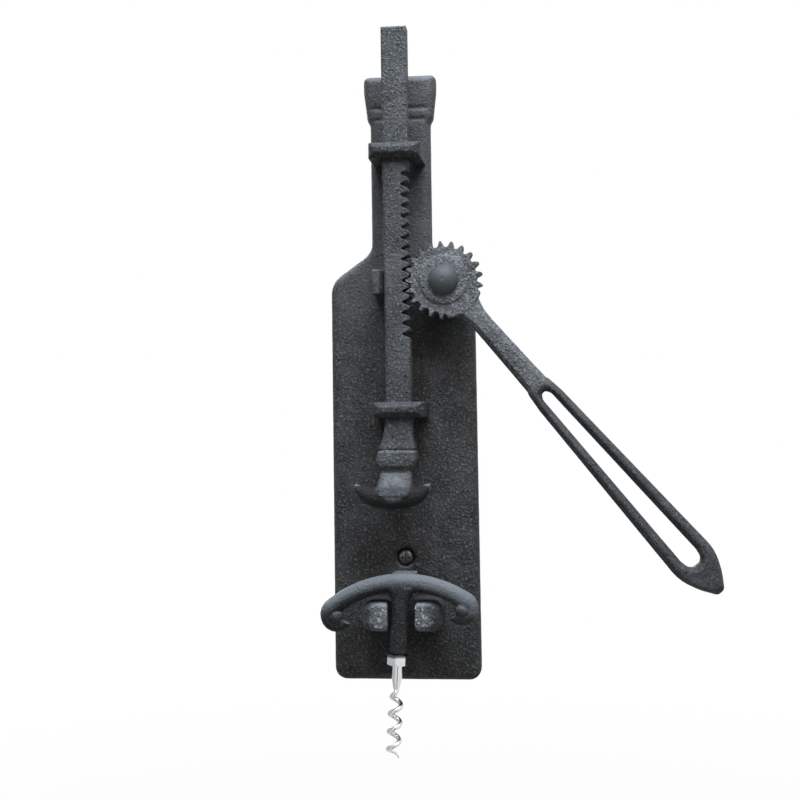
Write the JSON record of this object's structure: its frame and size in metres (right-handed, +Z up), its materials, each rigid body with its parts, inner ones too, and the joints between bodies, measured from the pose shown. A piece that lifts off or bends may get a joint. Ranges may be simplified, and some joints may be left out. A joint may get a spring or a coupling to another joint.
{
  "type": "wall-mounted cork puller",
  "caption": "Bottle-shaped cast-iron wall plate with a geared lever that drives a toothed rack and claw, and a loose corkscrew parked in a fork.",
  "frame": {"origin": "on the wall face, at the plate's centre line and half of its height", "axes": "+Z up the plate, +Y into the wall, +X to the right for someone facing the plate"},
  "size_m": [0.2347, 0.078, 0.4303],
  "materials": {
    "cast_black": "black painted sand casting",
    "dome_black": "smooth satin black",
    "bright_steel": "bright plated",
    "zinc": "zinc plated"
  },
  "bodies": {
    "plate": {"backplate": "cast_black", "bottle_fork": "cast_black", "upper_guide": "cast_black", "lower_guide": "cast_black", "casting_screws": "zinc", "casting_washers": "zinc", "pivot_bolt": "dome_black", "pivot_bush": "zinc", "thrust_washer": "zinc", "pivot_lock_washer": "zinc", "pivot_nut": "zinc", "wall_screws": "zinc"},
    "lever": {"gear_lever": "cast_black"},
    "rack": {"rack_bar": "cast_black"},
    "corkscrew": {"corkscrew_handle": "cast_black", "corkscrew_nut": "bright_steel", "corkscrew_worm": "bright_steel"}
  },
  "joints": [
    {"name": "lever_swing", "type": "hinge", "parent": "plate", "child": "lever", "pos_m": [0.0275, -0.033, 0.0564], "axis": [0, -1, 0], "range_deg": [0, 98]},
    {"name": "rack_slide", "type": "slide", "parent": "plate", "child": "rack", "axis": [0, 0, -1], "range_m": [0, 0.036]},
    {"name": "corkscrew_lift_out", "type": "slide", "parent": "plate", "child": "corkscrew", "axis": [0, -1, 0], "range_m": [0, 0.08]}
  ],
  "couplings": [
    {"joint": "rack_slide", "follows": "lever_swing", "m_per_rad": 0.021}
  ]
}
